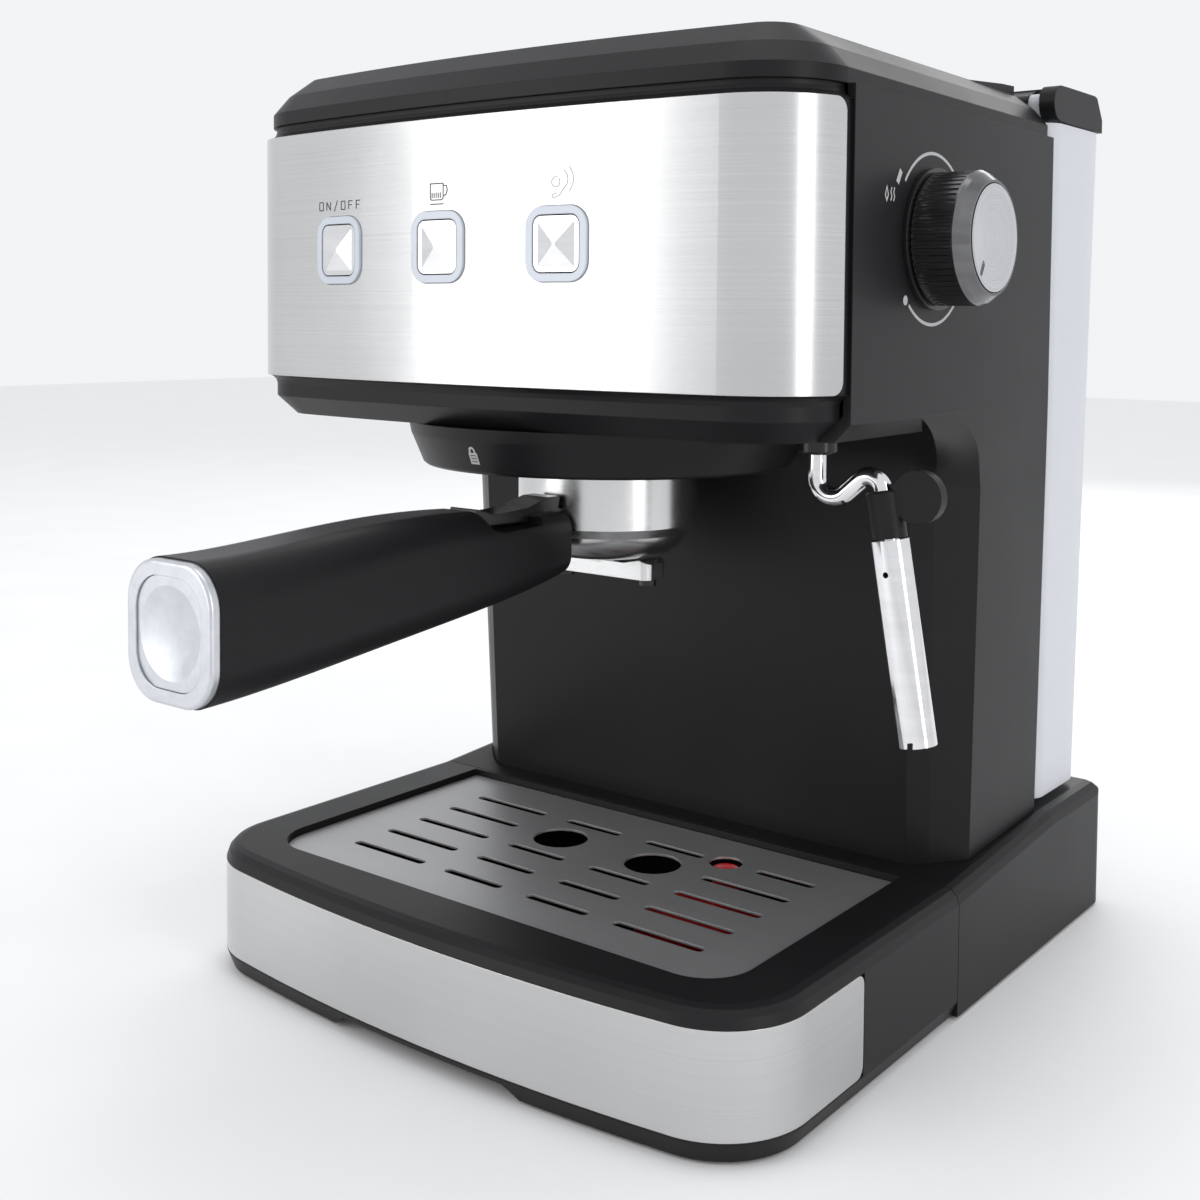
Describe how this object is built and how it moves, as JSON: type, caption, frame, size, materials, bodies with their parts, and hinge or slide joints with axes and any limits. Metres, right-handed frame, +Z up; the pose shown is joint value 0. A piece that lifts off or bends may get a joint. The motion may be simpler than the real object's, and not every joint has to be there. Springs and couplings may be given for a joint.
{
  "type": "espresso machine",
  "caption": "Home espresso machine: bowed steel front, side steam knob and swivelling milk frother, locking filter holder, pull-out drip tray with grate and lift-out water tank.",
  "frame": {"origin": "centre of the bounding box in plan, on the worktop", "axes": "+X to the machine's right side seen from the front, where the steam knob is; -Y to the front; +Z up"},
  "size_m": [0.253, 0.3676, 0.317],
  "materials": {
    "black_plastic": "fine moulded grain, matt",
    "gloss_black": "polished black moulding",
    "grey_plastic": "plain moulded grey",
    "brushed_steel": "brushed along X, satin",
    "grate_steel": "brushed, slightly darker",
    "satin_steel": "satin, fine grain",
    "bright_steel": "bright pressed sheet",
    "chrome": "polished plating",
    "cast_aluminium": "as cast",
    "zinc": "zinc plated",
    "brass": "turned",
    "rubber": "matt black rubber",
    "hose": "milky silicone",
    "board": "green circuit board",
    "light_ring": "translucent pale blue-grey",
    "red_plastic": "red moulding",
    "frosted_clear": "frosted clear plastic"
  },
  "bodies": {
    "machine": {"base_shell": "black_plastic", "base_plate": "grey_plastic", "rubber_feet": "rubber", "base_screws": "zinc", "cord_gland": "rubber", "housing": "black_plastic", "front_bezel": "black_plastic", "front_panel": "brushed_steel", "top_cover": "black_plastic", "group_collar": "black_plastic", "group_head": "cast_aluminium", "group_gasket": "rubber", "shower_screen": "bright_steel", "shower_screw": "bright_steel", "boiler": "cast_aluminium", "heating_element": "bright_steel", "thermostats": "grey_plastic", "pump": "grey_plastic", "pump_mounts": "rubber", "suction_hose": "hose", "pressure_hose": "hose", "tank_seat": "grey_plastic", "steam_valve": "brass", "steam_tubes": "bright_steel", "control_board": "board", "button_switches": "grey_plastic", "light_ring_power": "light_ring", "light_ring_brew": "light_ring", "light_ring_steam": "light_ring", "knob_escutcheon": "gloss_black", "wand_nut": "gloss_black"},
    "plunger": {"pump_plunger": "bright_steel"},
    "power_key": {"button_power": "chrome"},
    "brew_key": {"button_brew": "chrome"},
    "steam_key": {"button_steam": "chrome"},
    "knob": {"steam_knob": "chrome", "knob_core": "gloss_black", "knob_disc": "brushed_steel", "valve_spindle": "brass"},
    "needle": {"valve_needle": "brass"},
    "portafilter": {"portafilter_bowl": "satin_steel", "filter_basket": "bright_steel", "spout": "satin_steel", "spout_tips": "gloss_black", "handle_grip": "black_plastic", "handle_rod": "zinc", "handle_end_ring": "satin_steel", "handle_end_disc": "satin_steel"},
    "clip": {"basket_clip": "gloss_black"},
    "wand": {"wand_pipe": "chrome", "wand_grip": "black_plastic", "wand_nozzle": "bright_steel"},
    "sleeve": {"froth_sleeve": "chrome"},
    "tray": {"drip_tray": "black_plastic", "tray_band": "brushed_steel"},
    "grate": {"drip_grate": "grate_steel"},
    "float": {"tray_float": "red_plastic"},
    "tank": {"water_tank": "frosted_clear"},
    "lid": {"tank_lid": "black_plastic"},
    "valve": {"tank_valve": "grey_plastic"}
  },
  "joints": [
    {"name": "portafilter_lock", "type": "hinge", "parent": "machine", "child": "portafilter", "pos_m": [-0.0095, 0.00025, 0.18], "axis": [0, 0, 1], "range_deg": [-45, 0]},
    {"name": "clip_lift", "type": "hinge", "parent": "portafilter", "child": "clip", "pos_m": [-0.0095, -0.03525, 0.17], "axis": [-1, 0, 0], "range_deg": [0, 12]},
    {"name": "steam_knob_turn", "type": "hinge", "parent": "machine", "child": "knob", "pos_m": [0.1085, 0.01405, 0.2556], "axis": [1, 0, 0], "range_deg": [0, 240]},
    {"name": "valve_needle_slide", "type": "slide", "parent": "machine", "child": "needle", "axis": [1, 0, 0], "range_m": [0, 0.0045]},
    {"name": "steam_wand_swivel", "type": "hinge", "parent": "machine", "child": "wand", "pos_m": [0.081, -0.01125, 0.19], "axis": [0, 0, 1], "range_deg": [-80, 60]},
    {"name": "froth_sleeve_pull", "type": "slide", "parent": "wand", "child": "sleeve", "axis": [0.1685, 0, -0.9857], "range_m": [0, 0.04]},
    {"name": "power_key_press", "type": "slide", "parent": "machine", "child": "power_key", "axis": [0.0802, 0.9968, 0], "range_m": [0, 0.002], "stiffness_N_per_m": 400, "springref_m": -0.0005},
    {"name": "brew_key_press", "type": "slide", "parent": "machine", "child": "brew_key", "axis": [0.014, 0.9999, 0], "range_m": [0, 0.002], "stiffness_N_per_m": 400, "springref_m": -0.0005},
    {"name": "steam_key_press", "type": "slide", "parent": "machine", "child": "steam_key", "axis": [-0.0524, 0.9986, 0], "range_m": [0, 0.002], "stiffness_N_per_m": 400, "springref_m": -0.0005},
    {"name": "drip_tray_pull", "type": "slide", "parent": "machine", "child": "tray", "axis": [0, -1, 0], "range_m": [0, 0.15]},
    {"name": "grate_lift", "type": "slide", "parent": "tray", "child": "grate", "axis": [0, 0, 1], "range_m": [0, 0.05]},
    {"name": "float_rise", "type": "slide", "parent": "tray", "child": "float", "axis": [0, 0, 1], "range_m": [0, 0.012]},
    {"name": "tank_lift", "type": "slide", "parent": "machine", "child": "tank", "axis": [0, 0, 1], "range_m": [0, 0.26]},
    {"name": "tank_lid_open", "type": "hinge", "parent": "tank", "child": "lid", "pos_m": [-0.0095, 0.12635, 0.3105], "axis": [1, 0, 0], "range_deg": [0, 88]},
    {"name": "tank_valve_rise", "type": "slide", "parent": "tank", "child": "valve", "axis": [0, 0, 1], "range_m": [0, 0.003]},
    {"name": "pump_stroke", "type": "slide", "parent": "machine", "child": "plunger", "axis": [0, 0, 1], "range_m": [-0.003, 0.003], "stiffness_N_per_m": 2000}
  ],
  "couplings": [
    {"joint": "valve_needle_slide", "follows": "steam_knob_turn", "m_per_rad": 0.001}
  ]
}
